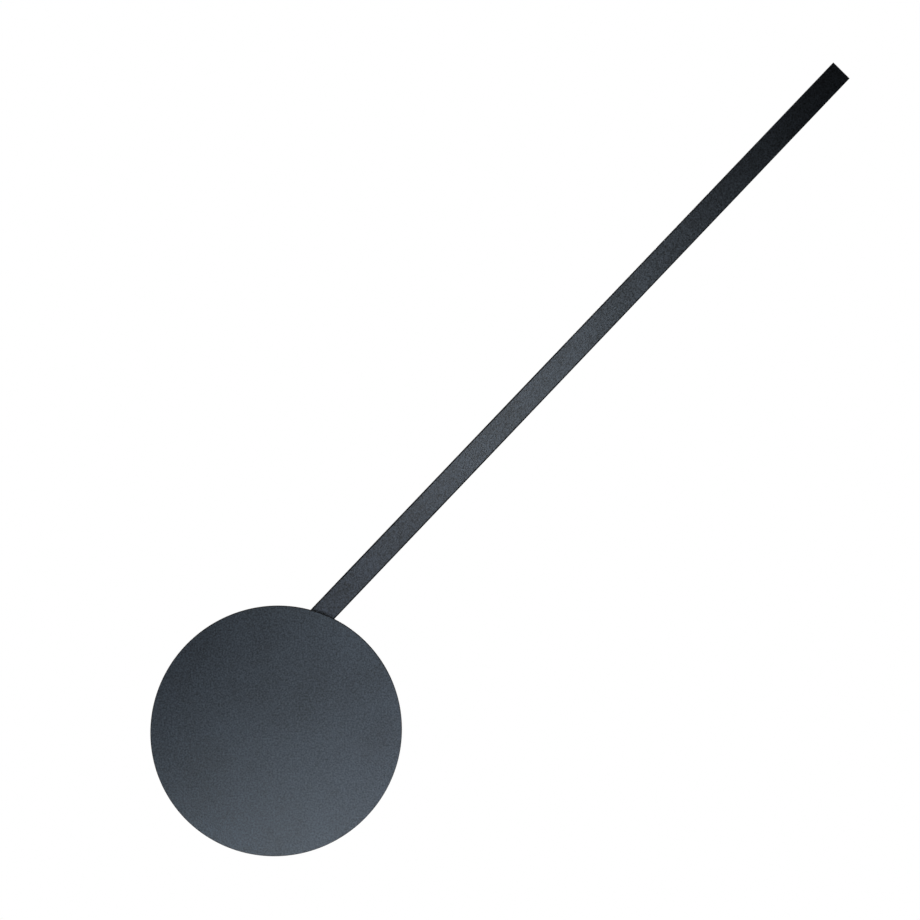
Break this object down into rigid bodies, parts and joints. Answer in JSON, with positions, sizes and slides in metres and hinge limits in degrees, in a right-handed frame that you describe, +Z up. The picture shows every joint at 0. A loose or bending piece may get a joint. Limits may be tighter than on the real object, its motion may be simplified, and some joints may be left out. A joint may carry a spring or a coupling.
{
  "type": "pendulum wall clock",
  "caption": "Wall clock with one long flat bar as its hand and a plain round disc in front that hangs off centre as the pendulum.",
  "frame": {"origin": "on the spindle's axis, in the wall's plane at the rear face of the back plate", "axes": "+X to the right seen from the room, +Y into the wall, +Z up; the clock faces -Y"},
  "size_m": [0.6014, 0.039, 0.6811],
  "materials": {
    "coated_steel": "fine-textured matte slate powder coat",
    "coated_aluminium": "fine-textured matte slate powder coat",
    "black_plastic": "fine moulded grain",
    "ivory_plastic": "satin acetal",
    "zinc_steel": "bright zinc plate",
    "bearing_bronze": "sintered and oiled",
    "wheel_brass": "stamped and tumbled",
    "copper_wire": "enamelled",
    "soft_iron": "annealed grey",
    "bright_nickel": "nickel plated",
    "green_board": "solder mask",
    "battery_jacket": "plain printed film"
  },
  "bodies": {
    "case": {"back_plate": "zinc_steel", "case_shell": "black_plastic", "shell_screw_1": "zinc_steel", "shell_screw_2": "zinc_steel", "shell_screw_3": "zinc_steel", "spindle": "zinc_steel", "spindle_clip": "zinc_steel", "movement_base": "black_plastic", "movement_cover": "ivory_plastic", "movement_screw_1": "zinc_steel", "movement_screw_2": "zinc_steel", "movement_screw_3": "zinc_steel", "stator": "soft_iron", "coil_bobbin": "ivory_plastic", "coil_winding": "copper_wire", "circuit_board": "green_board", "control_chip": "black_plastic", "timing_crystal": "bright_nickel", "battery_tray": "black_plastic", "battery": "battery_jacket", "battery_positive_contact": "bright_nickel", "battery_negative_spring": "bright_nickel", "pendulum_coil_post": "soft_iron", "pendulum_coil_bobbin": "ivory_plastic", "pendulum_coil_winding": "copper_wire"},
    "hand": {"hand_bar": "coated_aluminium", "hand_hub": "zinc_steel", "hour_wheel": "wheel_brass", "hub_bush_rear": "bearing_bronze", "hub_bush_front": "bearing_bronze", "hand_screw_1": "zinc_steel", "hand_screw_2": "zinc_steel"},
    "pendulum": {"pendulum_disc": "coated_steel", "disc_boss": "zinc_steel", "snap_bush": "ivory_plastic", "pendulum_magnet": "bright_nickel"},
    "motion_work": {"motion_wheel": "ivory_plastic"},
    "minute_work": {"minute_arbor": "zinc_steel", "clutch_spring": "zinc_steel"},
    "setting_work": {"setting_arbor": "zinc_steel", "setting_knob": "black_plastic"},
    "centre_work": {"centre_wheel": "wheel_brass"},
    "slow_work": {"slow_wheel": "wheel_brass"},
    "fast_work": {"fast_wheel": "wheel_brass"},
    "rotor": {"rotor_pinion": "zinc_steel", "rotor_magnet": "soft_iron"},
    "door": {"battery_door": "black_plastic"}
  },
  "joints": [
    {"name": "hand_turn", "type": "hinge", "parent": "case", "child": "hand", "pos_m": [0, 0, 0], "axis": [0, 1, 0], "continuous": true},
    {"name": "motion_wheel_turn", "type": "hinge", "parent": "case", "child": "motion_work", "pos_m": [-0.014, 0, -0.02425], "axis": [0, 1, 0], "continuous": true},
    {"name": "minute_arbor_turn", "type": "hinge", "parent": "case", "child": "minute_work", "pos_m": [-0.0028, 0, -0.04365], "axis": [0, 1, 0], "continuous": true},
    {"name": "setting_knob_turn", "type": "hinge", "parent": "case", "child": "setting_work", "pos_m": [-0.03505, 0, -0.03191], "axis": [0, 1, 0], "continuous": true},
    {"name": "rotor_turn", "type": "hinge", "parent": "case", "child": "rotor", "pos_m": [-0.00941, 0, -0.06327], "axis": [0, 1, 0], "continuous": true},
    {"name": "fast_wheel_turn", "type": "hinge", "parent": "case", "child": "fast_work", "pos_m": [0.00319, 0, -0.06327], "axis": [0, 1, 0], "continuous": true},
    {"name": "slow_wheel_turn", "type": "hinge", "parent": "case", "child": "slow_work", "pos_m": [0.01019, 0, -0.05115], "axis": [0, 1, 0], "continuous": true},
    {"name": "centre_wheel_turn", "type": "hinge", "parent": "case", "child": "centre_work", "pos_m": [-0.0028, 0, -0.04365], "axis": [0, 1, 0], "continuous": true},
    {"name": "pendulum_swing", "type": "hinge", "parent": "case", "child": "pendulum", "pos_m": [0, 0, 0], "axis": [0, 1, 0], "range_deg": [-6, 6]},
    {"name": "battery_door_off", "type": "slide", "parent": "case", "child": "door", "axis": [0, 1, 0], "range_m": [0, 0.03]}
  ],
  "couplings": [
    {"joint": "motion_wheel_turn", "follows": "hand_turn", "ratio": -4},
    {"joint": "minute_arbor_turn", "follows": "hand_turn", "ratio": 12},
    {"joint": "setting_knob_turn", "follows": "hand_turn", "ratio": 12},
    {"joint": "fast_wheel_turn", "follows": "rotor_turn", "ratio": -0.16667},
    {"joint": "slow_wheel_turn", "follows": "rotor_turn", "ratio": 0.027778},
    {"joint": "centre_wheel_turn", "follows": "rotor_turn", "ratio": -0.0055556}
  ]
}
